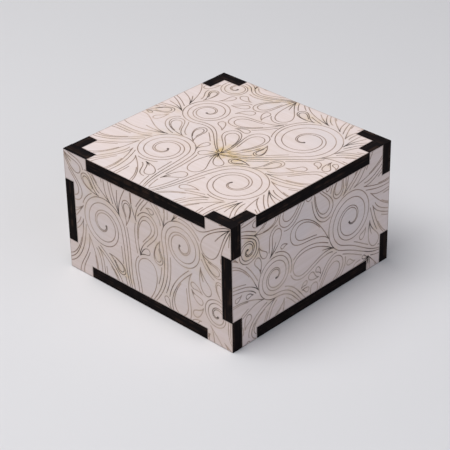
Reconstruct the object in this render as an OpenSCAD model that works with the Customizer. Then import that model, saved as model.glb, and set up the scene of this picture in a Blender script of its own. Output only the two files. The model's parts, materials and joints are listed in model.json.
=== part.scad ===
// Square wooden puzzle box with a hidden lid lock.
// Six finger-jointed panels make the outside. Inside, four liners carry a rim of
// three glued layers, and the middle layer leaves a channel at the middle of each
// side for a headed steel pin. The lid carries a catch plate on two spacers, which
// hangs below the pins. A pin that has slid inwards holds the catch plate down.
// Spinning the box throws all four pins outwards, and the lid lifts off.
// Drawn closed and unlocked, with every pin out. The origin is the centre of the
// underside, +Z is up and -Y is the front.

/* [Outer panels] */
// Width of the closed box, left to right
box_w = 92; // [80:1:110]
// Depth of the closed box, front to back
box_d = 92; // [80:1:110]
// Height of the closed box
box_h = 55; // [48:1:80]
// Thickness of the six outer panels
wall_t = 5; // [4:0.5:6]

/* [Finger joints] */
// Length of each corner finger along the top and bottom edges
corner_l = 13.5; // [10:0.5:20]
// Height of each corner finger on the upright edges
corner_h = 13.5; // [10:0.5:18]
// Gap beside each glued finger
kerf_gap = 0.1; // [0.05:0.05:0.2]

/* [Rim and liners] */
// Thickness of the liners, the two rings, the thin spacer and the catch plate
ply_t = 3; // [3:0.5:4]
// Thickness of the channel guides and the thick spacer, which is the channel height
guide_t = 5; // [5:0.5:6]
// Width of the rim, from the wall to the opening
ring_w = 10.5; // [9:0.5:14]
// Diameter of the dowels through the rim and through the lid's layers
dowel_d = 3; // [2.5:0.5:4]
// Distance from the spacers' edges to the lid dowels
dowel_inset = 6; // [5:0.5:8]

/* [Lock pins] */
// Diameter of a pin's shank
pin_d = 3.5; // [3:0.1:4]
// Length of a pin's head
head_l = 1.5; // [1:0.1:2]
// Chamfer on the tip of a pin
tip_chamfer = 0.5; // [0.2:0.1:0.8]
// How far a pin slides in over the catch plate
pin_travel = 4; // [3:0.5:5]

/* [Fits] */
// Clearance round the lid in the walls and beside its fingers
lid_fit = 0.15; // [0.1:0.05:0.3]
// Clearance under the lid, over the rim and the notches it lies in
lid_seat = 0.1; // [0.05:0.05:0.3]
// Clearance round the catch plate in the rim's opening
catch_fit = 0.3; // [0.2:0.05:0.5]
// Clearance on each side of a pin in its channel
pin_fit = 0.1; // [0.05:0.05:0.15]
// Gap between a pin's head and the wall, with the pin out
head_gap = 0.3; // [0.2:0.05:0.5]
// Distance from a pin's tip back to the rim's opening, with the pin out
tip_gap = 0.2; // [0.1:0.05:0.4]
// Glue gap round each dowel
dowel_fit = 0.05; // [0.02:0.01:0.1]

/* [Hidden] */
$fn = 48;
over = 1;

// Space inside the walls, and the opening that the rim leaves
cavity_w = box_w - 2 * wall_t;
cavity_d = box_d - 2 * wall_t;
open_w = cavity_w - 2 * ring_w;
open_d = cavity_d - 2 * ring_w;

// Lid layers, from the lid panel down
lid_z = box_h - wall_t;
upper_spacer_z = lid_z - ply_t;
lower_spacer_z = upper_spacer_z - guide_t;
catch_z = lower_spacer_z - ply_t;

// Rim layers, just under the lid panel
cover_z = lid_z - lid_seat - ply_t;
guide_z = cover_z - guide_t;
base_z = guide_z - ply_t;

// Catch plate, and the spacers that leave room for the pins above its edge
catch_w = open_w - 2 * catch_fit;
catch_d = open_d - 2 * catch_fit;
spacer_w = catch_w - 2 * pin_travel;
spacer_d = catch_d - 2 * pin_travel;

// Pins fill the channel's length, and their heads fill its height
head_d = guide_t - 2 * pin_fit;
pin_l = ring_w - head_gap - tip_gap;
pin_z = guide_z + guide_t / 2;
head_pocket_l = head_gap + head_l + pin_travel + pin_fit;

// Lid or bottom: a plate inside the walls with one long finger through each wall
module plate_outline(edge_gap, finger_gap) {
    square([cavity_w - 2 * edge_gap, cavity_d - 2 * edge_gap], center = true);
    square([box_w, box_d - 2 * (corner_l + finger_gap)], center = true);
    square([box_w - 2 * (corner_l + finger_gap), box_d], center = true);
}

// Notches in a wall's lower and upper edges for the fingers of bottom and lid
module edge_notches(length) {
    notch_l = length - 2 * corner_l;
    square([notch_l, 2 * wall_t], center = true);
    translate([0, box_h]) square([notch_l, 2 * (wall_t + lid_seat)], center = true);
}

// Front and back wall: corner fingers that reach the box's full width
module wide_wall_outline() {
    difference() {
        translate([-box_w / 2, 0]) square([box_w, box_h]);
        edge_notches(box_w);
        for (side = [-1, 1])
            translate([side * box_w / 2, box_h / 2])
                square([2 * wall_t, box_h - 2 * corner_h], center = true);
    }
}

// Left and right wall: one middle finger at each end, between the corner fingers
module narrow_wall_outline() {
    finger_z = corner_h + kerf_gap;
    difference() {
        union() {
            translate([-cavity_d / 2, 0]) square([cavity_d, box_h]);
            translate([-box_d / 2, finger_z]) square([box_d, box_h - 2 * finger_z]);
        }
        edge_notches(box_d);
    }
}

module bottom_panel() {
    color("#d9cbc4") linear_extrude(wall_t) plate_outline(0, kerf_gap);
}

module front_panel() {
    color("#cbbab3") translate([0, wall_t - box_d / 2, 0])
        rotate([90, 0, 0]) linear_extrude(wall_t) wide_wall_outline();
}

module back_panel() {
    color("#cbbab3") translate([0, box_d / 2, 0])
        rotate([90, 0, 0]) linear_extrude(wall_t) wide_wall_outline();
}

module left_panel() {
    color("#bfb0ae") translate([-box_w / 2, 0, 0])
        rotate([90, 0, 90]) linear_extrude(wall_t) narrow_wall_outline();
}

module right_panel() {
    color("#bfb0ae") translate([box_w / 2 - wall_t, 0, 0])
        rotate([90, 0, 90]) linear_extrude(wall_t) narrow_wall_outline();
}

// Upright liner against a wall, which carries the rim
module liner(length) {
    translate([-length / 2, 0, wall_t]) cube([length, ply_t, base_z - wall_t]);
}

module front_liner() {
    color("#cda877") translate([0, -cavity_d / 2, 0]) liner(cavity_w);
}

module back_liner() {
    color("#cda877") translate([0, cavity_d / 2 - ply_t, 0]) liner(cavity_w);
}

module left_liner() {
    color("#cda877") translate([-cavity_w / 2, 0, 0])
        rotate([0, 0, 90]) mirror([0, 1, 0]) liner(cavity_d - 2 * ply_t);
}

module right_liner() {
    color("#cda877") translate([cavity_w / 2, 0, 0])
        rotate([0, 0, 90]) liner(cavity_d - 2 * ply_t);
}

// Places of the dowels in the rim's corners
module at_ring_dowels() {
    for (x = [-1, 1], y = [-1, 1])
        translate([x * (open_w + ring_w) / 2, y * (open_d + ring_w) / 2]) children();
}

// Places of the dowels through the lid's layers
module at_lid_dowels() {
    for (x = [-1, 1], y = [-1, 1])
        translate([x * (spacer_w / 2 - dowel_inset), y * (spacer_d / 2 - dowel_inset)])
            children();
}

// Straight dowel that stands at height z
module dowel(z, length) {
    translate([0, 0, z]) cylinder(h = length, d = dowel_d);
}

module dowel_hole() {
    circle(d = dowel_d + 2 * dowel_fit);
}

// Square ring between the walls and the rim's opening
module ring(z) {
    translate([0, 0, z]) linear_extrude(ply_t) difference() {
        square([cavity_w, cavity_d], center = true);
        square([open_w, open_d], center = true);
        at_ring_dowels() dowel_hole();
    }
}

module base_ring() {
    color("#c9a06c") ring(base_z);
}

module cover_ring() {
    color("#d4b184") ring(cover_z);
}

// Half-way round pin channel: a throat for the shank and a wider pocket for the head
module channel_outline(wall_x) {
    throat_w = pin_d + 2 * pin_fit;
    pocket_w = head_d + 2 * pin_fit;
    translate([0, -throat_w / 2]) square([wall_x, throat_w]);
    translate([wall_x - head_pocket_l, -pocket_w / 2]) square([head_pocket_l + over, pocket_w]);
}

// Corner block of the rim's middle layer, between two pin channels
module guide(side_x, side_y) {
    translate([0, 0, guide_z]) linear_extrude(guide_t) difference() {
        mirror([side_x < 0 ? 1 : 0, 0]) mirror([0, side_y < 0 ? 1 : 0]) difference() {
            square([cavity_w / 2, cavity_d / 2]);
            square([open_w / 2, open_d / 2]);
            channel_outline(cavity_w / 2);
            rotate(90) channel_outline(cavity_d / 2);
        }
        at_ring_dowels() dowel_hole();
    }
}

module front_left_guide() {
    color("#be9460") guide(-1, -1);
}

module front_right_guide() {
    color("#be9460") guide(1, -1);
}

module back_left_guide() {
    color("#be9460") guide(-1, 1);
}

module back_right_guide() {
    color("#be9460") guide(1, 1);
}

module ring_dowels() {
    color("#e2c79c") at_ring_dowels() dowel(base_z, 2 * ply_t + guide_t);
}

module lid_panel() {
    color("#e1d7d4") translate([0, 0, lid_z])
        linear_extrude(wall_t) plate_outline(lid_fit, lid_fit);
}

// Rectangular layer under the lid panel, bored for the lid dowels
module lid_layer(z, width, depth, thickness) {
    translate([0, 0, z]) linear_extrude(thickness) difference() {
        square([width, depth], center = true);
        at_lid_dowels() dowel_hole();
    }
}

module upper_spacer() {
    color("#cda877") lid_layer(upper_spacer_z, spacer_w, spacer_d, ply_t);
}

module lower_spacer() {
    color("#be9460") lid_layer(lower_spacer_z, spacer_w, spacer_d, guide_t);
}

module catch_plate() {
    color("#d4b184") lid_layer(catch_z, catch_w, catch_d, ply_t);
}

module lid_dowels() {
    color("#e2c79c") at_lid_dowels() dowel(catch_z, 2 * ply_t + guide_t);
}

// Headed pin that points inwards from the wall at wall_x, turned about the box's axis
module lock_pin(wall_x, turn) {
    color("#a8aaad") rotate([0, 0, turn]) translate([wall_x - head_gap, 0, pin_z])
        rotate([0, -90, 0]) rotate_extrude() polygon([
            [0, 0], [head_d / 2, 0], [head_d / 2, head_l], [pin_d / 2, head_l],
            [pin_d / 2, pin_l - tip_chamfer], [pin_d / 2 - tip_chamfer, pin_l], [0, pin_l]
        ]);
}

module front_lock_pin() {
    lock_pin(cavity_d / 2, 270);
}

module back_lock_pin() {
    lock_pin(cavity_d / 2, 90);
}

module left_lock_pin() {
    lock_pin(cavity_w / 2, 180);
}

module right_lock_pin() {
    lock_pin(cavity_w / 2, 0);
}

bottom_panel();
front_panel();
back_panel();
left_panel();
right_panel();
front_liner();
back_liner();
left_liner();
right_liner();
base_ring();
front_left_guide();
front_right_guide();
back_left_guide();
back_right_guide();
cover_ring();
ring_dowels();
lid_panel();
upper_spacer();
lower_spacer();
catch_plate();
lid_dowels();
front_lock_pin();
back_lock_pin();
left_lock_pin();
right_lock_pin();
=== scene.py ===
"""Wooden puzzle box: six charred, engraved boards round the lid lock, its rim and its pins.

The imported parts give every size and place. The six outer boards are remade with their
engraved scrollwork cut into the wood, burnt edges and small chamfers. The inner pieces
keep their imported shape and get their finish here.
"""
import json
import math
import random

import bpy
import numpy as np
from mathutils import Matrix, Vector
from mathutils.geometry import delaunay_2d_cdt
from mathutils.kdtree import KDTree


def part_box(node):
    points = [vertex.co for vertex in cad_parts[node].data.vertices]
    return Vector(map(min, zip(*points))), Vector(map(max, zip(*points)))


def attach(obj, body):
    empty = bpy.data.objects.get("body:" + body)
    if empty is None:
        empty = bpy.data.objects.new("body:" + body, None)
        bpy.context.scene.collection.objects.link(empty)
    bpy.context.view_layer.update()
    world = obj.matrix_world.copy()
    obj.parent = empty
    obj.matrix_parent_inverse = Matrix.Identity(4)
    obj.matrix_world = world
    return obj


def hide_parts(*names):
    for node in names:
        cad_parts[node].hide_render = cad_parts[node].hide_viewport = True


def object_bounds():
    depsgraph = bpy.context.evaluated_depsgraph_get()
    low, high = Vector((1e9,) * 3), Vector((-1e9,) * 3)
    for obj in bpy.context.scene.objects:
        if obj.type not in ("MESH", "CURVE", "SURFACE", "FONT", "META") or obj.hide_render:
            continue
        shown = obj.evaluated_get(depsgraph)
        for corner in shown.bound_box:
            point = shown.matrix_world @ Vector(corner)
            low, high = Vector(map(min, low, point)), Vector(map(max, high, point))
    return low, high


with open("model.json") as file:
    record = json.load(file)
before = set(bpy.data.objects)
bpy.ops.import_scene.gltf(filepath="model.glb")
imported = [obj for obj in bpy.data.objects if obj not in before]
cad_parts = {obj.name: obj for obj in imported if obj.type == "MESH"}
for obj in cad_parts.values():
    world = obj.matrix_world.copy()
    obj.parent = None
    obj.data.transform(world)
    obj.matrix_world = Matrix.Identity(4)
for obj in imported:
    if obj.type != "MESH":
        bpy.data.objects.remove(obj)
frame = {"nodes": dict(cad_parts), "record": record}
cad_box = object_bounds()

MM = 0.001
TAU = 2 * math.pi

# All in mm. Engraved line: a V cut by the beam
CUT_WIDTH = 0.34
CUT_DEPTH = 0.16
# How far to each side of a line's middle the beam has browned the wood
SINGED = 0.46
# Bare wood kept between engraved lines
CLEAR = 0.9
# Spacing of the points along an engraved line, and the fewest steps of any path
CUT_STEP = 0.5
FEWEST_STEPS = 4
# Worn corner of each sawn edge, and how far smoke has stained the face behind it
CHAMFER = 0.14
STAIN = 0.75
# How far the scorch reaches from a point that many lines run to
KNOT_REACH = 11.0
# Spacing of the points that carry the scorch tint on bare wood
TINT_STEP = 2.0

# ------------------------------------------------------------------ scrollwork

# Points along a leaf from its pointed base to its round tip, and their places as shares of its
# length
LEAF_POINTS = 22
ALONG = (1 - np.cos(np.linspace(0, math.pi, LEAF_POINTS))) / 2
# Width at those places as a share of the widest. A larger power draws the base out further
DRAWN_OUT = 1.6
FATNESS = ALONG ** DRAWN_OUT * np.sqrt(1 - ALONG)
FATNESS /= FATNESS.max()
# Width of a spray's leaf or a plume, as a share of its length
SLIM = 0.4
# Below 1, a leaf bends more near its base than near its tip
EARLY_BEND = 0.7

# A scroll: points to a turn, share of its radius that it winds in by, and how late it does so
TURN_POINTS = 45
WOUND_IN = 0.88
WINDING = 1.3
# Points along its stem, and how far the stem holds its heading, as a share of its length
STEM_POINTS = 30
STEM_PULL = 0.42
# A scroll's two lines: places along it, and their distance there in mm and in shares of its radius
BAND_PLACES = (0, 0.2, 0.5, 0.75, 1)
BAND_WIDTHS = ((0.5, 0), (0.4, 0.13), (0.4, 0.2), (0.3, 0.13), (0.4, 0))
# Radius of the dot at its end
DOT = 0.35


def pointing(angle):
    """Unit vectors at these angles"""
    return np.stack([np.cos(angle), np.sin(angle)], -1)


def evenly(path, step):
    """The same path with its points about a step apart, in at least FEWEST_STEPS"""
    run = np.r_[0, np.cumsum(np.linalg.norm(np.diff(path, axis=0), axis=1))]
    at = np.linspace(0, run[-1], max(int(run[-1] / step), FEWEST_STEPS) + 1)
    return np.stack([np.interp(at, run, path[:, 0]), np.interp(at, run, path[:, 1])], -1)


def across(path):
    """Unit vectors to the left of a path"""
    along = np.gradient(path, axis=0)
    along /= np.linalg.norm(along, axis=1)[:, None]
    return along[:, ::-1] * (-1, 1)


def runs(kept):
    """Start and end of each unbroken run of kept points"""
    change = np.diff(np.r_[0, kept, 0])
    return zip(np.flatnonzero(change > 0), np.flatnonzero(change < 0))


def leaf_shape(heading, bend, slim):
    """Outline and spine of a leaf 1 mm long: drawn out at its base and round at its tip"""
    turn = heading + bend * ALONG ** EARLY_BEND
    steps = pointing((turn[1:] + turn[:-1]) / 2) * np.diff(ALONG)[:, None]
    spine = np.vstack([[0, 0], np.cumsum(steps, 0)])
    side = pointing(turn + math.pi / 2) * (FATNESS * slim / 2)[:, None]
    return np.vstack([spine + side, (spine - side)[-2::-1]]), spine


def scroll_path(root, heading, centre, radius, turns, start):
    """Stem that leaves its root at a heading and rolls up round a centre"""
    start, hand = math.radians(start), math.copysign(1, turns)
    sweep = np.linspace(0, abs(turns) * TAU, int(TURN_POINTS * abs(turns)))
    shrink = radius * (1 - WOUND_IN * (sweep / sweep[-1]) ** WINDING)
    roll = np.array(centre) + shrink[:, None] * pointing(start + hand * sweep)
    root = np.array(root)
    reach = STEM_PULL * np.linalg.norm(roll[0] - root)
    leave = root + reach * pointing(math.radians(heading))
    meet = roll[0] - reach * pointing(start + hand * math.pi / 2)
    t = np.linspace(0, 1, STEM_POINTS)[:-1, None]
    stem = (1 - t) ** 3 * root + 3 * t * (1 - t) ** 2 * leave
    stem = stem + 3 * t ** 2 * (1 - t) * meet + t ** 3 * roll[0]
    return evenly(np.vstack([stem, roll]), CUT_STEP)


class Engraving:
    """Lines for one board's face, in mm from the face's middle, and the room left between them"""

    # The room is kept for squares of this size, on the face and this far past it
    PITCH = 0.3
    SPARE = 8.0
    # It is measured this far from a line, and a square further from every line has this much
    REACH = 2.4
    OPEN = 9.0
    # Points of a path that are marked at once
    BATCH = 12
    # Each leaf length that is tried as a share of the one before, and about how much its log falls
    SHORTER = 0.94
    LOG_FALL = 0.062
    # Width of the bare middle of a leaf as a share of its own, and the points left off at its ends
    BARE = 0.5
    BARE_ENDS = 6
    # A leaf longer than this may get a vein, by chance, from this point of its middle on, that
    # ends between these shares of it
    VEINED = 7
    VEIN_CHANCE = 0.4
    VEIN_START = 2
    VEIN_END = (0.3, 0.6)
    # Any other leaf longer than this gets a line inside. Its start, length, bend and width are
    # shares of the leaf's own, and this many points are left off at its ends
    LINED = 9
    LINE_START = 0.1
    LINE_LENGTH = 0.8
    LINE_BEND = 0.85
    LINE_WIDTH = 0.9
    LINE_ENDS = 8
    # A line cut beside another: its gap, and the shortest that is kept
    ECHO_GAP = 1.6
    SHORTEST_ECHO = 7
    # Rings round a scroll's centre that stay bare, as shares of its radius
    BARE_RINGS = np.arange(0.15, 0.95, 0.15)
    # Points round a ring, and round a scroll's dot
    RING_POINTS = 40
    DOT_POINTS = 9
    # Leaves of a spray, as shares of the length that its layout names: the longest that is
    # tried, the shortest, and how far from their common point they may lie close together
    SPRAY_LONGEST = 1.2
    SPRAY_SHORTEST = 0.45
    SPRAY_CLOSE = 0.25
    # Their least and greatest bend, and the share of it by which they set off the other way
    SPRAY_BEND = (0.3, 0.9)
    SPRAY_BACK = 0.4
    # Plumes on a scroll: how far out they start, as a share of its radius and in mm, their
    # spacing, and their heading off the scroll's radius and bend, where it turns left
    CREST_SHARE = 1.06
    CREST_EXTRA = 0.3
    CREST_SPACING = 6.5
    CREST_TURN = 1.25
    CREST_BEND = -0.9
    # Longest plume, shortest plume, and how far from its base it may lie close to the scroll
    CREST_LEAF = (26, 7, 1.6)
    # Side leaves of a fan, so many to each side: how much each turns and leans from the one
    # before, the share they keep of the middle leaf's bend, the longest as a share of the one
    # before, the shortest, and how far from their common point they may lie close together
    FAN_LEAVES = 3
    FAN_TURN = 0.62
    FAN_LEAN = 0.2
    FAN_BEND = 0.8
    FAN_LONGEST = 0.95
    FAN_SHORTEST = 3.5
    FAN_CLOSE = 2.6
    # Leaves that fill gaps start this near a line and up to this far past the edge, with a bend
    # between these
    NEAR_LINE = 2.2
    FILL_PAST = 1
    FILL_BEND = (0.6, 1.3)
    # Leaves tried for each one that is drawn, and rounds without one after which filling ends
    TRIES = 90
    ROUNDS = 3

    def __init__(self, width, height, seed):
        self.half = np.array([width, height]) / 2
        self.low = -self.half - self.SPARE
        cells = np.ceil((self.half + self.SPARE) * 2 / self.PITCH).astype(int)
        self.room = np.full(cells, self.OPEN)
        self.lines = []
        self.leaves = []
        self.stems = []
        self.draw = random.Random(seed)

    def cell(self, points):
        """The squares that points lie in"""
        last = np.array(self.room.shape) - 1
        return np.clip(((points - self.low) / self.PITCH).astype(int), 0, last)

    def room_at(self, points):
        """Distance from points to the nearest line"""
        at = self.cell(points)
        return self.room[at[..., 0], at[..., 1]]

    def keep_off(self, path):
        """Marks how near this path each spot of bare wood is"""
        for k in range(0, len(path), self.BATCH):
            run = path[k:k + self.BATCH + 1]
            low, high = self.cell(np.array([run.min(0) - self.REACH, run.max(0) + self.REACH]))
            part = self.room[low[0]:high[0] + 1, low[1]:high[1] + 1]
            spots = np.stack(np.mgrid[low[0]:high[0] + 1, low[1]:high[1] + 1], -1)
            spots = (spots + 0.5) * self.PITCH + self.low
            far = np.linalg.norm(spots[:, :, None] - run, axis=-1).min(-1)
            np.minimum(part, far, out=part)

    def cut(self, path):
        """Adds a line and keeps others off it"""
        self.lines.append(path)
        self.keep_off(path)

    def longest_leaf(self, base, heading, bend, slim, longest, shortest, close):
        """Length of the largest such leaf that keeps clear of what is cut, but close to its base"""
        if longest <= shortest:
            return 0
        count = int(math.log(longest / shortest) / self.LOG_FALL) + 1
        lengths = longest * self.SHORTER ** np.arange(count)
        reach = lengths[:, None, None] * np.vstack(leaf_shape(heading, bend, slim))
        fits = (self.room_at(base + reach) > CLEAR) | (np.linalg.norm(reach, axis=-1) < close)
        fits = fits.all(1)
        return lengths[fits.argmax()] if fits.any() else 0

    def leaf(self, base, heading, bend, slim, length):
        """A leaf that stays bare inside, but for a vein or a second line in most large ones"""
        outline, spine = leaf_shape(heading, bend, slim)
        self.cut(base + length * outline)
        self.keep_off(base + length * spine)
        middle, _ = leaf_shape(heading, bend, self.BARE * slim)
        self.keep_off(base + length * middle[self.BARE_ENDS:-self.BARE_ENDS])
        self.leaves.append(base + length * outline)
        if length > self.VEINED and self.draw.random() < self.VEIN_CHANCE:
            vein = evenly(base + length * spine, CUT_STEP)
            end = int(len(vein) * self.draw.uniform(*self.VEIN_END))
            self.lines.append(vein[self.VEIN_START:end])
        elif length > self.LINED:
            turned = heading + self.LINE_START * bend
            inside, _ = leaf_shape(turned, self.LINE_BEND * bend, self.LINE_WIDTH * slim)
            start = base + self.LINE_START * length * pointing(heading)
            line = start + self.LINE_LENGTH * length * inside
            self.lines.append(line[self.LINE_ENDS:-self.LINE_ENDS])

    def echo(self, path):
        """Lines that run to the left of a path, wherever the wood there is bare"""
        path = evenly(path, CUT_STEP)
        beside = path + self.ECHO_GAP * across(path)
        for start, end in runs(self.room_at(beside) > CLEAR):
            if (end - start) * CUT_STEP > self.SHORTEST_ECHO:
                self.cut(beside[start:end])

    def scroll(self, root, heading, centre, radius, turns, start):
        """A double-lined stem that rolls up and ends in a dot"""
        path = scroll_path(root, heading, centre, radius, turns, start)
        widths = [share * radius + fixed for fixed, share in BAND_WIDTHS]
        width = np.interp(np.linspace(0, 1, len(path)), BAND_PLACES, widths)
        for side in (-0.5, 0.5):
            self.cut(path + across(path) * (side * width)[:, None])
            self.stems.append(self.lines[-1][::-1] if side < 0 else self.lines[-1])
        self.lines.append(path[-1] + DOT * pointing(np.linspace(0, TAU, self.DOT_POINTS)))
        for ring in self.BARE_RINGS * radius:
            self.keep_off(np.array(centre) + ring * pointing(np.linspace(0, TAU, self.RING_POINTS)))

    def spray(self, root, first, last, count, longest):
        """Leaves that fan out of one point"""
        lengths = self.SPRAY_LONGEST * longest, self.SPRAY_SHORTEST * longest
        close = self.SPRAY_CLOSE * longest
        for k in range(count):
            bend = math.copysign(self.draw.uniform(*self.SPRAY_BEND), last - first)
            heading = math.radians(first + (last - first) * (k + 0.5) / count)
            heading -= self.SPRAY_BACK * bend
            length = self.longest_leaf(root, heading, bend, SLIM, *lengths, close)
            if length:
                self.leaf(np.array(root), heading, bend, SLIM, length)

    def crest(self, centre, radius, turns, start):
        """Plumes that lick off the outside of a scroll"""
        hand = math.copysign(1, turns)
        edge = self.CREST_SHARE * radius + self.CREST_EXTRA
        count = int(TAU * edge / self.CREST_SPACING)
        for k in range(count):
            angle = math.radians(start) + hand * TAU * k / count
            base = np.array(centre) + edge * pointing(angle)
            heading, bend = angle + self.CREST_TURN * hand, self.CREST_BEND * hand
            length = self.longest_leaf(base, heading, bend, SLIM, *self.CREST_LEAF)
            if length:
                self.leaf(base, heading, bend, SLIM, length)

    def fan(self, base, heading, bend, slim, length):
        """Shorter and shorter leaves from the same point, to both sides of a leaf"""
        for hand in (-1, 1):
            longest = length
            for k in range(1, self.FAN_LEAVES + 1):
                turn = heading + self.FAN_TURN * k * hand
                lean = self.FAN_BEND * bend + self.FAN_LEAN * hand * k
                limits = self.FAN_LONGEST * longest, self.FAN_SHORTEST, self.FAN_CLOSE
                longest = self.longest_leaf(base, turn, lean, slim, *limits)
                if not longest:
                    break
                self.leaf(base, turn, lean, slim, longest)

    def fill(self, longest, shortest, slim):
        """Fans where the wood is still bare, each round the largest of many leaves that are tried"""
        ends = self.half + self.FILL_PAST
        misses = 0
        while misses < self.ROUNDS:
            best = [0]
            for _ in range(self.TRIES):
                base = np.array([self.draw.uniform(-end, end) for end in ends])
                if not CLEAR < self.room_at(base) < self.NEAR_LINE:
                    continue
                heading = self.draw.uniform(0, TAU)
                bend = self.draw.choice((-1, 1)) * self.draw.uniform(*self.FILL_BEND)
                least = max(best[0], shortest)
                length = self.longest_leaf(base, heading, bend, slim, longest, least, 0)
                if length > best[0]:
                    best = [length, base, heading, bend]
            if best[0]:
                length, base, heading, bend = best
                self.leaf(base, heading, bend, slim, length)
                self.fan(base, heading, bend, slim, length)
                misses = 0
            else:
                misses += 1


# Leaves that fill the gaps, and smaller ones for what is still bare after that: the longest, the
# shortest, and their width as a share of their length
GAP_LEAVES = (20, 6, 0.42)
PATCH_LEAVES = (7, 3.6, 0.5)


def scrollwork(width, height, seed, scrolls, sprays):
    """All lines of a face: scrolls and sprays, plumes on the scrolls, and leaves on what is bare"""
    work = Engraving(width, height, seed)
    for scroll in scrolls:
        work.scroll(*scroll)
    for spray in sprays:
        work.spray(*spray)
    for _, _, centre, radius, turns, start in scrolls:
        work.crest(centre, radius, turns, start)
    work.fill(*GAP_LEAVES)
    for path in work.stems + work.leaves[::2]:
        work.echo(path)
    work.fill(*PATCH_LEAVES)
    return work.lines


# Layout of each face, in mm from its middle. A scroll has its root, the heading there, the
# centre it rolls up round, its radius, its turns (clockwise below 0) and the angle where the
# stem meets it. A spray has its root, its first and last heading, its count of leaves and
# about how long they are.
LAYOUTS = {
    "lid_panel": {
        "scrolls": [
            ((2, -50), 60, (24, -21), 13, -1.95, 160),
            ((2, -50), 120, (-16, -19), 11.5, 2.05, 10),
            ((4, -8), 20, (21, 23), 14.5, 1.95, -50),
            ((2, -7), 150, (-25, 15), 10, -2.05, -70),
            ((-4, 46), 200, (-31, 38), 7, 1.85, 40),
        ],
        "sprays": [
            ((2, -50), 65, 115, 6, 24),
            ((3, -7.5), 70, 140, 6, 24),
            ((3, -7.5), 205, 335, 7, 15),
            ((-4, 46), 215, 330, 7, 16),
        ],
    },
    "front_panel": {
        "scrolls": [
            ((-6, -30), 120, (-24, 1), 11.5, 1.95, 10),
            ((-4, -30), 40, (20, 9), 10, -2.05, 190),
            ((48, -26), 150, (38, -14), 6.5, 1.85, 0),
        ],
        "sprays": [
            ((-5, -30), 55, 115, 6, 22),
            ((-46, 27), -80, 0, 7, 18),
            ((46, 27), 180, 270, 7, 18),
        ],
    },
    "right_panel": {
        "scrolls": [
            ((48, -20), 190, (22, 2), 12.5, -2.05, 250),
            ((-2, -28), 140, (-22, -4), 9, -1.95, 270),
            ((-48, 24), -20, (-37, 14), 5.5, -1.85, 60),
        ],
        "sprays": [
            ((-2, -28), 30, 120, 8, 20),
            ((0, 29), 200, 330, 8, 19),
        ],
    },
    "back_panel": {
        "scrolls": [
            ((0, 30), -60, (21, -5), 12, 2.05, 140),
            ((0, 30), -120, (-21, -5), 12, -2.05, 40),
        ],
        "sprays": [
            ((0, 30), -120, -60, 6, 22),
            ((0, -30), 60, 120, 5, 16),
        ],
    },
    "left_panel": {
        "scrolls": [
            ((-48, -22), 20, (-18, 4), 12, 2.05, -60),
            ((4, 29), -30, (24, 8), 9.5, -2.05, 120),
            ((14, -29), 20, (39, -13), 7, 1.85, -80),
        ],
        "sprays": [
            ((4, 29), 190, 320, 8, 20),
            ((14, -29), 40, 150, 8, 18),
        ],
    },
    "bottom_panel": {"scrolls": [], "sprays": []},
}

# ------------------------------------------------------------------ finishes


class Reading:
    """A socket in a finish. Sums written with it add Math nodes."""

    def __init__(self, finish, socket):
        self.finish = finish
        self.socket = socket

    def sum(self, operation, *terms):
        """Adds a Math node and reads its result"""
        return self.finish.node("ShaderNodeMath", {"operation": operation}, dict(enumerate(terms)))

    def __add__(self, other):
        return self.sum("ADD", self, other)

    def __mul__(self, other):
        return self.sum("MULTIPLY", self, other)

    def __abs__(self):
        return self.sum("ABSOLUTE", self)

    __radd__ = __add__
    __rmul__ = __mul__


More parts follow.
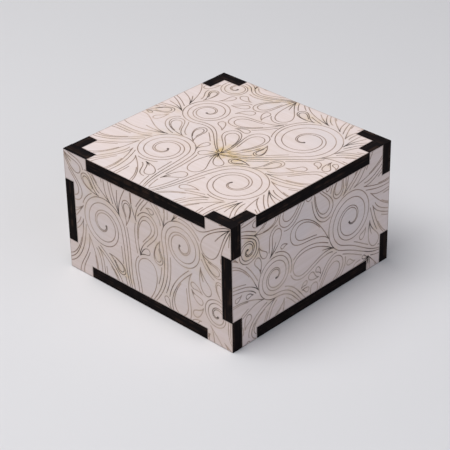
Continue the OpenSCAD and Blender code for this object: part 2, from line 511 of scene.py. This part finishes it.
class Finish:
    """The nodes of a material or of the room: their readings, their colours and the result"""

    def __init__(self, owner):
        self.owner = owner
        owner.use_nodes = True
        self.tree = owner.node_tree
        self.tree.nodes.clear()

    def node(self, kind, settings, sockets, out=0):
        """Adds a node, sets it up, feeds its sockets by number or name, and reads one output"""
        made = self.tree.nodes.new(kind)
        for key, value in settings.items():
            setattr(made, key, value)
        for key, value in sockets.items():
            socket = made.inputs[key]
            if isinstance(value, Reading):
                self.tree.links.new(value.socket, socket)
            else:
                socket.default_value = (*value, 1) if socket.type == "RGBA" else value
        if made.outputs:
            return Reading(self, made.outputs[out])

    def between(self, value, low, high):
        """0 below low, 1 above high, smooth between"""
        ends = {"Value": value, "From Min": low, "From Max": high}
        return self.node("ShaderNodeMapRange", {"interpolation_type": "SMOOTHSTEP"}, ends)

    def mix(self, share, first, second):
        """Second colour over the first by a share. A Mix node's colour sockets are 6, 7 and out 2."""
        return self.node("ShaderNodeMix", {"data_type": "RGBA"}, {0: share, 6: first, 7: second}, 2)

    def noise(self, where, scale=1.0, detail=2.0, roughness=0.5):
        """Uneven patches, so many to the unit of the place that is given"""
        patches = {"Vector": where, "Scale": scale, "Detail": detail, "Roughness": roughness}
        return self.node("ShaderNodeTexNoise", {}, patches)

    def place(self, kind="Object"):
        """Object coordinates in metres, or the way the surface faces"""
        return self.node("ShaderNodeTexCoord", {}, {}, kind)

    def part(self, vector, key):
        """One number of a vector"""
        return self.node("ShaderNodeSeparateXYZ", {}, {"Vector": vector}, key)

    def lay(self, thickness_axis):
        """Object coordinates in mm as (along the grain, across it, into the sheet)"""
        order = {"X": "YZX", "Y": "XZY", "Z": "XYZ"}[thickness_axis]
        place = self.place()
        return [self.part(place, key) * (1 / MM) for key in order]

    def at(self, x, y, z):
        """A place for a noise to read"""
        return self.node("ShaderNodeCombineXYZ", {}, {"X": x, "Y": y, "Z": z})

    def tint(self, name):
        """A value painted on the piece's points"""
        return self.node("ShaderNodeAttribute", {"attribute_name": name}, {}, "Fac")

    def surface(self, colour, roughness, height=None, bump=0.0, depth=0.0, **constants):
        """The finished surface. Height is a share of depth, which is in mm."""
        feeds = {"Base Color": colour, "Roughness": roughness, **constants}
        if height is not None:
            relief = {"Strength": bump, "Distance": depth * MM, "Height": height}
            feeds["Normal"] = self.node("ShaderNodeBump", {}, relief)
        return self.done(self.node("ShaderNodeBsdfPrincipled", {}, feeds), "Material")

    def done(self, shader, kind):
        """Sends the shader to the output, and returns the material or the room"""
        self.node("ShaderNodeOutput" + kind, {}, {"Surface": shader})
        return self.owner


# Colours, as linear light. Bare wood of the outer boards, its streaks and its greyer clouds
PALE = (0.80, 0.68, 0.655)
STREAK = (0.70, 0.575, 0.51)
COOL = (0.72, 0.655, 0.66)
# What the beam does to it: beside a line, where lines crowd, and behind an edge
SINGE = (0.46, 0.33, 0.24)
SCORCH = (0.66, 0.47, 0.22)
TOAST = (0.16, 0.095, 0.06)
# Sawn edges, and the plies that show in them
SOOT = (0.006, 0.0045, 0.005)
EMBER = (0.030, 0.018, 0.014)
# Engraved lines, from lingering to quick
LINE_DARK = (0.050, 0.033, 0.028)
LINE_BROWN = (0.36, 0.25, 0.195)
LINE_FAINT = (0.56, 0.43, 0.35)
# Inner parts, and the floor
BIRCH = (0.66, 0.49, 0.31)
BIRCH_STREAK = (0.50, 0.34, 0.20)
DOWEL = (0.72, 0.56, 0.37)
STEEL = (0.58, 0.58, 0.59)
WORN_STEEL = (0.34, 0.33, 0.32)
PAPER = (0.72, 0.71, 0.72)

# Slice of the noise that shows the plies of a sawn edge
PLY_SLICE = 4.0

# In what follows, a number beside along, cross or deep is how often a mark repeats in a mm, and
# one before a reading is the most that it brings. Noise lies between about 0.3 and 0.7, so the
# ends given to between() do too


def grain(finish, along, cross, deep):
    """Growth streaks that wander along the sheet, and the short pores between them, 0 to 1"""
    wander = finish.noise(finish.at(along * 0.02, cross * 0.05, deep * 0.05))
    streak_place = finish.at(along * 0.02, cross * 0.8 + wander * 5, deep * 0.3)
    pore_place = finish.at(along * 0.35, cross * 5 + wander * 20, deep)
    streaks = finish.between(finish.noise(streak_place, detail=4.0, roughness=0.6), 0.33, 0.68)
    return streaks, finish.between(finish.noise(pore_place), 0.58, 0.72)


def board_wood(axis):
    """Pale sanded face of an outer board, smoked along its sawn edges and where lines crowd"""
    finish = Finish(bpy.data.materials.new("board_wood_" + axis.lower()))
    along, cross, deep = finish.lay(axis)
    streaks, pores = grain(finish, along, cross, deep)
    clouds = finish.noise(finish.at(along * 0.03, cross * 0.04, deep * 0.03))
    place = finish.at(along, cross, deep)
    smoke = finish.noise(place, scale=0.45, detail=3.0)
    passes = finish.noise(place, scale=0.045, detail=1.0)
    colour = finish.mix(0.45 * streaks, PALE, STREAK)
    colour = finish.mix(0.5 * finish.between(clouds, 0.45, 0.7), colour, COOL)
    colour = finish.mix(0.22 * pores, colour, STREAK)
    singed = finish.tint("singe") * (0.12 + 0.25 * finish.between(smoke, 0.3, 0.7))
    colour = finish.mix(singed, colour, SINGE)
    hot = finish.tint("scorch") * (0.15 + 0.85 * finish.between(passes, 0.4, 0.6))
    colour = finish.mix(hot * (0.3 + 0.7 * finish.between(smoke, 0.3, 0.65)), colour, SCORCH)
    colour = finish.mix(finish.tint("char") * (0.35 + 0.8 * smoke), colour, TOAST)
    height = -1.0 * pores + -0.4 * streaks
    return finish.surface(colour, 0.62 + 0.1 * streaks, height, bump=0.25, depth=0.05)


def charred_edge(axis):
    """Sawn edge: soot, with fine beam marks through the sheet and its plies showing faintly"""
    finish = Finish(bpy.data.materials.new("charred_edge_" + axis.lower()))
    along, cross, deep = finish.lay(axis)
    run = along + cross
    marks = finish.noise(finish.at(run * 4.0, deep * 0.15, 0.0), detail=3.0, roughness=0.6)
    plies = finish.noise(finish.at(run * 0.03, deep * 1.1, PLY_SLICE), detail=1.0)
    patches = finish.noise(finish.at(along, cross, deep), scale=0.3, detail=3.0)
    share = finish.between(plies, 0.45, 0.62) * finish.between(patches, 0.35, 0.7)
    colour = finish.mix(share, SOOT, EMBER)
    dull = {"Specular IOR Level": 0.03}
    return finish.surface(colour, 0.6 + 0.2 * marks, marks, bump=0.5, depth=0.06, **dull)


def burnt_line():
    """Inside of an engraved line, faint on some parts of a face and dark where the beam lingered"""
    finish = Finish(bpy.data.materials.new("burnt_line"))
    place = finish.place()
    pace = finish.between(finish.noise(place, scale=120.0), 0.38, 0.68)
    quick = finish.between(finish.noise(place, scale=26.0, detail=1.0), 0.42, 0.6)
    light = finish.mix(0.85 * quick, LINE_BROWN, LINE_FAINT)
    dark = 0.35 * pace + 0.6 * finish.tint("scorch") + finish.tint("linger")
    return finish.surface(finish.mix(finish.between(dark, 0.0, 1.0), light, LINE_DARK), 0.85)


def inner_ply(axis):
    """Inner layer of thin ply: tan faces, and edges charred by the beam"""
    finish = Finish(bpy.data.materials.new("inner_ply_" + axis.lower()))
    along, cross, deep = finish.lay(axis)
    streaks, pores = grain(finish, along, cross, deep)
    square_on = abs(finish.part(finish.place("Normal"), axis))
    marks = finish.noise(finish.at((along + cross) * 3.0, deep * 0.2, 0.0), detail=3.0)
    face = finish.mix(0.6 * streaks, BIRCH, BIRCH_STREAK)
    face = finish.mix(0.3 * pores, face, BIRCH_STREAK)
    edge = finish.mix(marks, SOOT, EMBER)
    colour = finish.mix(finish.between(square_on, 0.4, 0.6), edge, face)
    return finish.surface(colour, 0.6 + 0.1 * streaks, -1.0 * pores + marks, bump=0.3, depth=0.05)


def dowel_birch():
    """End grain of a turned dowel: rings and open pores"""
    finish = Finish(bpy.data.materials.new("dowel_birch"))
    place = finish.place()
    rings = finish.noise(place, scale=900.0)
    dots = finish.noise(place, scale=4000.0, detail=1.0)
    colour = finish.mix(0.4 * finish.between(rings, 0.4, 0.6), DOWEL, BIRCH_STREAK)
    colour = finish.mix(0.4 * finish.between(dots, 0.6, 0.7), colour, TOAST)
    return finish.surface(colour, 0.7, dots, bump=0.2, depth=0.03)


def pin_steel():
    """Turned steel, with fine tool marks and a dull film of handling"""
    finish = Finish(bpy.data.materials.new("pin_steel"))
    place = finish.place()
    film = finish.noise(place, scale=700.0, detail=3.0)
    marks = finish.noise(place, scale=9000.0, detail=1.0)
    colour = finish.mix(0.3 * finish.between(film, 0.4, 0.7), STEEL, WORN_STEEL)
    return finish.surface(colour, 0.26 + 0.25 * film, marks, bump=0.15, depth=0.02, Metallic=1.0)


# ------------------------------------------------------------------ boards

# Each outer board: the way its face looks, and the direction that runs left to right on it
BOARDS = {
    "lid_panel": ((0, 0, 1), (1, 0, 0)),
    "front_panel": ((0, -1, 0), (1, 0, 0)),
    "right_panel": ((1, 0, 0), (0, 1, 0)),
    "back_panel": ((0, 1, 0), (-1, 0, 0)),
    "left_panel": ((-1, 0, 0), (0, -1, 0)),
    "bottom_panel": ((0, 0, -1), (1, 0, 0)),
}
# Materials of a board, in this order, and the values that are painted on its points
BARE_WOOD, BURNT, CHARRED = range(3)
TINTS = ("char", "singe", "scorch", "linger")

# How far from the face's plane a point may lie in mm, and the least bend of a corner in square mm
ON_FACE = 0.01
CORNER = 1e-3
# How near the cutting takes two points for one, in mm
SAME_POINT = 1e-4
# Spacing of points where a line is tested against the edge, where the distance to lines is
# measured, and where crowding is counted
TRIM_STEP = 0.1
NEAR_STEP = 0.08
COUNT_STEP = 0.25
# Fewest tested points that are kept of a line that the edge cuts
TRIM_LEAST = 8
# Crowding is counted in squares of 1 mm, this far past the face, and evened out this often
COUNT_PAST = 2
COUNT_EVENED = 6
# Crowding where each effect sets in, and how much more of it brings the whole effect
SCORCHES = (0.4, 0.45)
SCORCHES_TIGHT = (0.8, 0.6)
LINGERS = (0.55, 0.4)
# How strong the scorch is where lines crowd, how much each knot adds, and so for tight spots
CROWD_SCORCH = 0.55
KNOT_SCORCH = 0.3
TIGHT_SCORCH = 0.45
# Share of a scroll's radius at its end over which the beam lingers
SCROLL_LINGER = 0.2
# Above 1, the smoke behind an edge clears faster near the edge
SMOKE_FALL = 1.5
# A face whose normal is lower than this looks straight back
STRAIGHT_BACK = -0.9


def thickness_axis(node):
    """The axis along which a flat piece is thinnest"""
    low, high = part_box(node)
    size = high - low
    return "XYZ"[min(range(3), key=lambda k: size[k])]


def face_place(node, outward, rightward):
    """Where a board's face is, as a matrix from mm on it to the model, and the board's thickness"""
    low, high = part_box(node)
    outward, rightward = Vector(outward), Vector(rightward)
    thick = abs((high - low).dot(outward))
    centre = (low + high) / 2 + outward * thick / 2
    turn = Matrix((rightward, outward.cross(rightward), outward)).transposed().to_4x4()
    return Matrix.Translation(centre) @ turn @ Matrix.Scale(MM, 4), thick / MM


def face_outline(node, place):
    """Corners of a board's outer face, in mm on the face, anticlockwise"""
    mesh = frame["nodes"][node].data
    flat = place.inverted()
    points = [flat @ v.co for v in mesh.vertices]
    after = {}
    for polygon in mesh.polygons:
        corners = [points[k] for k in polygon.vertices]
        if all(abs(p.z) < ON_FACE for p in corners):
            keys = [(round(p.x, 3), round(p.y, 3)) for p in corners]
            for a, b in zip(keys, keys[1:] + keys[:1]):
                if a in after.get(b, ()):
                    after[b].remove(a)
                else:
                    after.setdefault(a, []).append(b)
    spot = next(key for key, ways in after.items() if ways)
    loop = []
    while after[spot]:
        loop.append(spot)
        spot = after[spot].pop()
    loop = np.array(loop)
    before, behind = np.roll(loop, 1, 0) - loop, np.roll(loop, -1, 0) - loop
    bent = abs(before[:, 0] * behind[:, 1] - before[:, 1] * behind[:, 0]) > CORNER
    return loop[bent]


def inset_outline(outline, amount):
    """The outline moved inwards by an amount"""
    edge = np.roll(outline, -1, 0) - outline
    edge /= np.linalg.norm(edge, axis=1)[:, None]
    inward = edge[:, ::-1] * (-1, 1)
    return outline + amount * (inward + np.roll(inward, 1, 0))


def distance_to_outline(points, outline):
    """Distance from each point to the board's edge"""
    nearest = np.full(len(points), np.inf)
    for start, end in zip(outline, np.roll(outline, -1, 0)):
        edge = end - start
        share = np.clip((points - start) @ edge / (edge @ edge), 0, 1)
        far = np.linalg.norm(points - start - share[:, None] * edge, axis=1)
        nearest = np.minimum(nearest, far)
    return nearest


def on_board(points, outline, margin):
    """Which points lie inside the outline, at least a margin away from it"""
    odd = np.zeros(len(points), bool)
    for (x0, y0), (x1, y1) in zip(outline, np.roll(outline, -1, 0)):
        if y0 != y1:
            level = (y0 > points[:, 1]) != (y1 > points[:, 1])
            odd ^= level & (points[:, 0] < x0 + (points[:, 1] - y0) * (x1 - x0) / (y1 - y0))
    return odd & (distance_to_outline(points, outline) > margin)


def trimmed(lines, outline):
    """The lines, stopped short of the board's worn edge"""
    margin = CHAMFER + CUT_WIDTH
    parts = []
    for line in lines:
        if on_board(line, outline, margin).all():
            parts.append(line)
            continue
        fine = evenly(line, TRIM_STEP)
        for start, end in runs(on_board(fine, outline, margin)):
            if end - start > TRIM_LEAST:
                parts.append(evenly(fine[start:end], CUT_STEP))
    return parts


def distance_to_lines(points, lines):
    """Distance from each point to the nearest engraved line, or infinity where there is none"""
    if not lines:
        return np.full(len(points), np.inf)
    spots = np.vstack([evenly(line, NEAR_STEP) for line in lines])
    tree = KDTree(len(spots))
    for k, (x, y) in enumerate(spots):
        tree.insert((x, y, 0), k)
    tree.balance()
    return np.array([tree.find((x, y, 0))[2] for x, y in points])


def crowding(points, lines, half):
    """How closely lines crowd round each point, in mm of line to the square mm"""
    if not lines:
        return np.zeros(len(points))
    cells = np.ceil(2 * half).astype(int) + 2 * COUNT_PAST
    count = np.zeros(cells)
    spots = np.vstack([evenly(line, COUNT_STEP) for line in lines])
    at = (spots + half + COUNT_PAST).astype(int)
    inside = ((at >= 0) & (at < cells)).all(1)
    np.add.at(count, tuple(at[inside].T), COUNT_STEP)
    for _ in range(COUNT_EVENED):
        for axis in (0, 1):
            count = (np.roll(count, 1, axis) + 2 * count + np.roll(count, -1, axis)) / 4
    at = np.clip((points + half + COUNT_PAST).astype(int), 0, cells - 1)
    return count[at[:, 0], at[:, 1]]


def risen(value, start, span):
    """0 up to the start, and 1 from a span after it"""
    return np.clip((value - start) / span, 0, 1)


def scorching(points, crowd, knots):
    """How much the beam has scorched the wood where lines crowd or run to one point, 0 to 1"""
    heat = np.zeros(len(points))
    for knot in sorted(knots):
        heat += np.exp(-(np.linalg.norm(points - knot, axis=1) / KNOT_REACH) ** 2)
    close = risen(crowd, *SCORCHES)
    tight = risen(crowd, *SCORCHES_TIGHT)
    return np.clip(close * (CROWD_SCORCH + KNOT_SCORCH * heat) + TIGHT_SCORCH * tight, 0, 1)


def lingering(points, crowd, scrolls):
    """How much longer the beam has stayed in tight spots and where a scroll ends, 0 to 1"""
    stay = risen(crowd, *LINGERS)
    for _, _, centre, radius, *_ in scrolls:
        far = np.linalg.norm(points - centre, axis=1)
        stay = np.maximum(stay, np.exp(-(far / (SCROLL_LINGER * radius)) ** 2))
    return stay


def face_triangles(outline, lines, half):
    """Points and triangles of a face, in mm, that follow its edge and both sides of each line"""
    points, edges = [], []

    def rail(path, closed=True):
        first, count = len(points), len(path)
        points.extend(Vector(p) for p in path)
        edges.extend((first + k, first + k + 1) for k in range(count - 1))
        if closed:
            edges.append((first + count - 1, first))

    for inset in (0, CHAMFER, STAIN):
        rail(inset_outline(outline, inset))
    for line in lines:
        side = across(line)
        rail(line, closed=False)
        for reach in (CUT_WIDTH / 2, SINGED):
            onward = side[[0, -1]][:, ::-1] * ((-reach, reach), (reach, -reach))
            start, end = line[[0, -1]] + onward
            rail(np.vstack([line + reach * side, [end], (line - reach * side)[::-1], [start]]))
    for x in np.arange(-half[0] + TINT_STEP / 2, half[0], TINT_STEP):
        for y in np.arange(-half[1] + TINT_STEP / 2, half[1], TINT_STEP):
            points.append(Vector((x, y)))
    board = [list(range(len(outline)))]
    cut = delaunay_2d_cdt(points, edges, board, 0, SAME_POINT, True)
    flat, _, triangles, _, _, within = cut
    triangles = [corners for corners, boards in zip(triangles, within) if boards]
    used = sorted({k for corners in triangles for k in corners})
    number = {k: n for n, k in enumerate(used)}
    triangles = [[number[k] for k in corners] for corners in triangles]
    return np.array([flat[k] for k in used]), triangles


def engraved_face(outline, lines, layout, half):
    """A board's outer face as a mesh in mm: cut along its lines, worn down along its edge"""
    flat, triangles = face_triangles(outline, lines, half)
    near_line = distance_to_lines(flat, lines)
    near_edge = distance_to_outline(flat, outline)
    drop = CUT_DEPTH * np.clip(1 - near_line / (CUT_WIDTH / 2), 0, 1)
    drop += np.clip(CHAMFER - near_edge, 0, None)
    mesh = bpy.data.meshes.new("face")
    mesh.from_pydata(np.column_stack([flat, -drop]).tolist(), [], triangles)
    middles = flat[np.array(triangles)].mean(1)
    kind = np.where(distance_to_lines(middles, lines) < CUT_WIDTH / 2, BURNT, BARE_WOOD)
    kind[distance_to_outline(middles, outline) < CHAMFER] = CHARRED
    mesh.polygons.foreach_set("material_index", kind)
    crowd = crowding(flat, lines, half)
    knots = {root for group in layout.values() for root, *_ in group}
    char = np.clip(1 - near_edge / STAIN, 0, 1) ** SMOKE_FALL
    singe = np.clip((SINGED - near_line) / (SINGED - CUT_WIDTH / 2), 0, 1)
    scorch = scorching(flat, crowd, knots)
    linger = lingering(flat, crowd, layout["scrolls"])
    for name, values in zip(TINTS, (char, singe, scorch, linger)):
        mesh.attributes.new(name, "FLOAT", "POINT").data.foreach_set("value", values)
    return mesh


def sawn_block(board, thick):
    """Gives a face its sawn edges and a chamfered back, all charred but the back itself"""
    back = thick - CHAMFER
    below_relief = -2 * CHAMFER - CUT_DEPTH
    bpy.ops.object.select_all(action="DESELECT")
    bpy.context.view_layer.objects.active = board
    board.select_set(True)
    bpy.ops.object.mode_set(mode="EDIT")
    bpy.ops.mesh.select_mode(type="EDGE")
    bpy.ops.mesh.select_all(action="DESELECT")
    bpy.ops.mesh.select_non_manifold(extend=False)
    bpy.ops.mesh.extrude_region_move(TRANSFORM_OT_translate={"value": (0, 0, -back)})
    bpy.ops.transform.resize(value=(1, 1, 0), center_override=(0, 0, -back))
    bpy.ops.mesh.edge_face_add()
    bpy.ops.mesh.select_mode(type="FACE")
    bpy.ops.mesh.normals_make_consistent(inside=False)
    bpy.ops.mesh.inset(thickness=CHAMFER, depth=CHAMFER)
    bpy.ops.mesh.inset(thickness=STAIN, depth=0)
    bpy.ops.object.mode_set(mode="OBJECT")
    # The middle of the back, past the smoke, is its one face with more than four corners
    back_points = set()
    for polygon in board.data.polygons:
        if polygon.center.z < below_relief:
            flat_back = polygon.normal.z < STRAIGHT_BACK
            polygon.material_index = BARE_WOOD if flat_back else CHARRED
            if flat_back and len(polygon.vertices) > 4:
                back_points.update(polygon.vertices)
    for name in TINTS:
        values = board.data.attributes[name].data
        for k in back_points:
            values[k].value = 0


def engraved_board(node, outward, rightward, seed):
    """An outer board: engraved face, charred sawn edges and chamfered back"""
    place, thick = face_place(node, outward, rightward)
    outline = face_outline(node, place)
    half = outline.max(0)
    layout = LAYOUTS[node]
    lines = trimmed(scrollwork(*(2 * half), seed, **layout), outline)
    board = bpy.data.objects.new(node + "_board", engraved_face(outline, lines, layout, half))
    bpy.context.scene.collection.objects.link(board)
    sawn_block(board, thick)
    board.matrix_world = place
    bpy.ops.object.transform_apply(location=True, rotation=True, scale=True)
    axis = thickness_axis(node)
    for finish in (("board_wood", axis), "burnt_line", ("charred_edge", axis)):
        board.data.materials.append(FINISHES[finish])
    return board


# ------------------------------------------------------------------ the box

FINISHES = {"burnt_line": burnt_line(), "dowel_birch": dowel_birch(), "pin_steel": pin_steel()}
for axis in "XYZ":
    FINISHES["board_wood", axis] = board_wood(axis)
    FINISHES["charred_edge", axis] = charred_edge(axis)
    FINISHES["inner_ply", axis] = inner_ply(axis)

bodies = frame["record"]["behaviour"]["bodies"]
BODY_OF = {node: body for body, nodes in bodies.items() for node in nodes}
SLOT_OF = {part["node"]: part["material_slot"] for part in frame["record"]["subparts"]}

# Each board has its own seed, from 1 up
for seed, (node, (outward, rightward)) in enumerate(BOARDS.items(), 1):
    board = engraved_board(node, outward, rightward, seed)
    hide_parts(node)
    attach(board, BODY_OF[node])

for node, part in frame["nodes"].items():
    if node in BOARDS:
        continue
    slot = SLOT_OF[node]
    part.data.materials.clear()
    part.data.materials.append(FINISHES.get(slot) or FINISHES[slot, thickness_axis(node)])

# ------------------------------------------------------------------ floor and light

# In metres
FLOOR_SIZE = 8
FLOOR_ROUGHNESS = 0.9
# Colours of the light from the window, from the other side and from the room
WHITE = (1, 1, 1)
SKY = (0.74, 0.82, 1)
ROOM_COLOUR = (0.94, 0.96, 1.0)
# The room lights softly, and is seen and mirrored as pale as the paper
ROOM_LIGHT = 0.16
ROOM_SEEN = 0.6

bpy.ops.object.select_all(action="DESELECT")
bpy.ops.mesh.primitive_plane_add(size=FLOOR_SIZE)
floor = bpy.context.object
floor.name = "floor"
paper = Finish(bpy.data.materials.new("floor_paper"))
floor.data.materials.append(paper.surface(PAPER, FLOOR_ROUGHNESS))


def toward(azimuth, elevation):
    """Unit vector from the box, in degrees from the front to the right, and up"""
    a, e = math.radians(azimuth), math.radians(elevation)
    return Vector((math.sin(a) * math.cos(e), -math.cos(a) * math.cos(e), math.sin(e)))


def lamp(name, azimuth, elevation, distance, size, power, colour):
    """A soft square lamp that points at the box: degrees, metres and watts"""
    data = bpy.data.lights.new(name, "AREA")
    data.size, data.energy, data.color = size, power, colour
    made = bpy.data.objects.new(name, data)
    bpy.context.scene.collection.objects.link(made)
    made.location = toward(azimuth, elevation) * distance
    made.rotation_euler = toward(azimuth, elevation).to_track_quat("Z", "Y").to_euler()


lamp("window", azimuth=-30, elevation=70, distance=1.2, size=0.9, power=13.5, colour=WHITE)
lamp("fill", azimuth=95, elevation=35, distance=1.5, size=1.2, power=3.8, colour=SKY)

room = Finish(bpy.data.worlds.new("room"))
rays = ("Is Camera Ray", "Is Glossy Ray", "Is Transmission Ray")
straight, mirrored, through = (room.node("ShaderNodeLightPath", {}, {}, ray) for ray in rays)
strength = ROOM_LIGHT + (straight + mirrored + through) * (ROOM_SEEN - ROOM_LIGHT)
glow = room.node("ShaderNodeBackground", {}, {"Color": ROOM_COLOUR, "Strength": strength})
bpy.context.scene.world = room.done(glow, "World")

# ------------------------------------------------------------------ camera

# The view in degrees: from the front to the right, up, and how far the box turns anticlockwise
VIEW_AZIMUTH = 44.504
VIEW_ELEVATION = 31.061
VIEW_ROLL = 1.133
# Distance and target, as shares of the box's width
VIEW_DISTANCE = 7.2222
VIEW_TARGET = (0.05544, -0.07980, 0.25)
# Width of the sensor and length of the lens, in mm
SENSOR = 36
LENS = 132.52

box_w = cad_box[1][0] - cad_box[0][0]
back = toward(VIEW_AZIMUTH, VIEW_ELEVATION)
right = toward(VIEW_AZIMUTH + 90, 0)
up = back.cross(right)
roll = math.radians(VIEW_ROLL)
rolled_right = right * math.cos(roll) - up * math.sin(roll)
rolled_up = right * math.sin(roll) + up * math.cos(roll)
stand = (Vector(VIEW_TARGET) + back * VIEW_DISTANCE) * box_w
aim = Matrix((rolled_right, rolled_up, back)).transposed().to_4x4()

lens = bpy.data.cameras.new("camera")
lens.sensor_width = SENSOR
lens.lens = LENS
camera = bpy.data.objects.new("camera", lens)
bpy.context.scene.collection.objects.link(camera)
camera.matrix_world = Matrix.Translation(stand) @ aim
bpy.context.scene.camera = camera
bpy.context.scene.view_settings.view_transform = "Standard"
